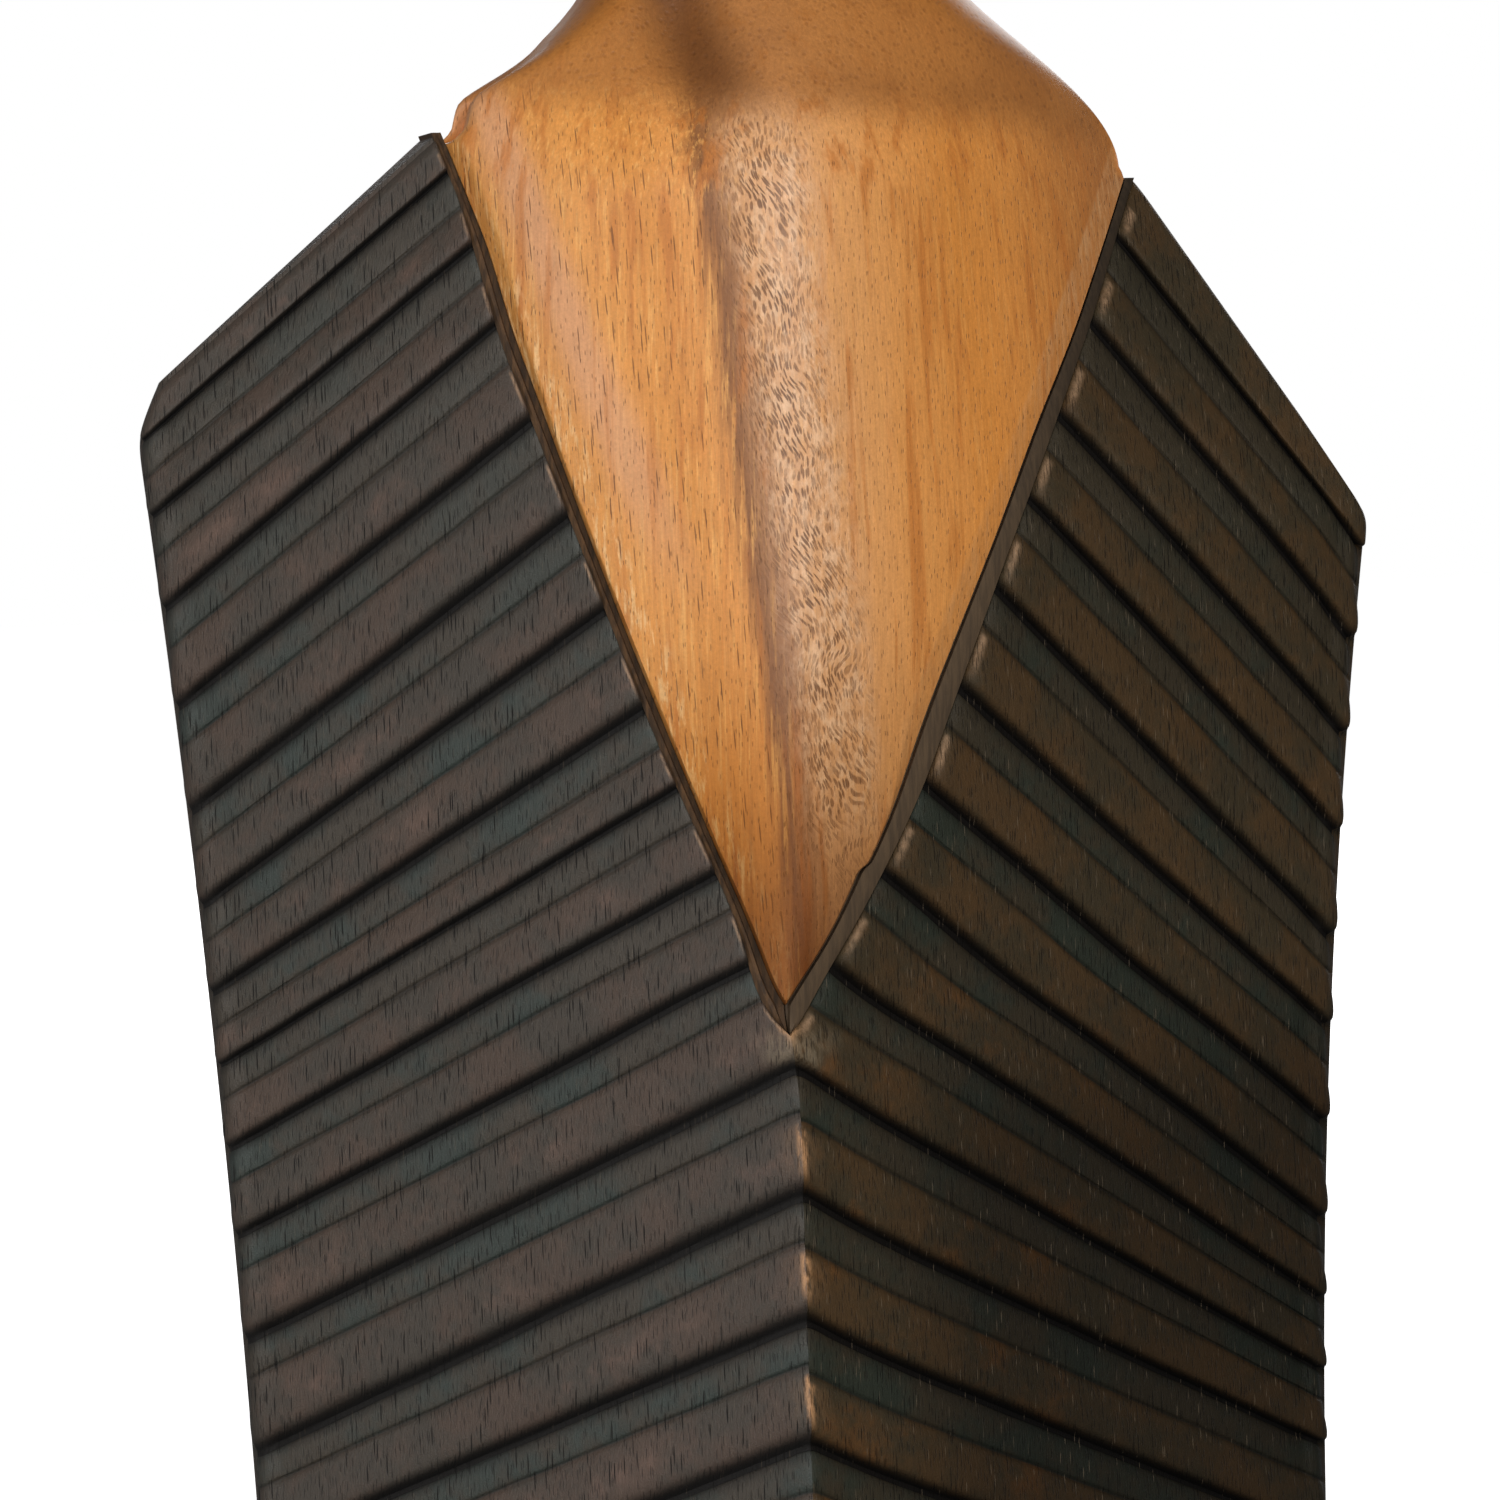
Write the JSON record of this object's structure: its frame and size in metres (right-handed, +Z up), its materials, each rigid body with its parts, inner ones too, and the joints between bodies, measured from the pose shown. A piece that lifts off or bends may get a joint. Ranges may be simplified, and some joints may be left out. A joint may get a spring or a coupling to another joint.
{
  "type": "carved figural headrest",
  "caption": "Carved wooden headrest: a natural-wood torso with a dished rest on its neck, in a dark ribbed robe with a deep V neckline",
  "frame": {"origin": "on the floor at the centre of the footprint, on the plane of the robe's front and back ridges", "axes": "+Z is up, the robe's front ridge and the chest face -Y, and +X runs to the viewer's right across the shoulders"},
  "size_m": [0.133, 0.0718, 0.201],
  "materials": {
    "dark_wood": "dark stained and waxed, rubbed back on the ridge and the rib ends",
    "lining_wood": "black stained, matt",
    "natural_wood": "oiled satin",
    "dowel_wood": "bare"
  },
  "bodies": {
    "root": {"robe_front_left": "dark_wood", "robe_front_right": "dark_wood", "robe_back_left": "dark_wood", "robe_back_right": "dark_wood", "sole_plate": "dark_wood", "lining_left": "lining_wood", "lining_right": "lining_wood", "chest_core": "natural_wood", "head_rest": "natural_wood", "side_dowel_left_lower": "dowel_wood", "side_dowel_left_upper": "dowel_wood", "side_dowel_right_lower": "dowel_wood", "side_dowel_right_upper": "dowel_wood", "core_dowel_left_front": "dowel_wood", "core_dowel_left_back": "dowel_wood", "core_dowel_right_front": "dowel_wood", "core_dowel_right_back": "dowel_wood", "sole_dowel_left_front": "dowel_wood", "sole_dowel_left_back": "dowel_wood", "sole_dowel_right_front": "dowel_wood", "sole_dowel_right_back": "dowel_wood", "ridge_dowel_front_lower": "dowel_wood", "ridge_dowel_front_upper": "dowel_wood", "ridge_dowel_back_lower": "dowel_wood", "ridge_dowel_back_upper": "dowel_wood", "neck_dowel": "dowel_wood"}
  },
  "joints": []
}
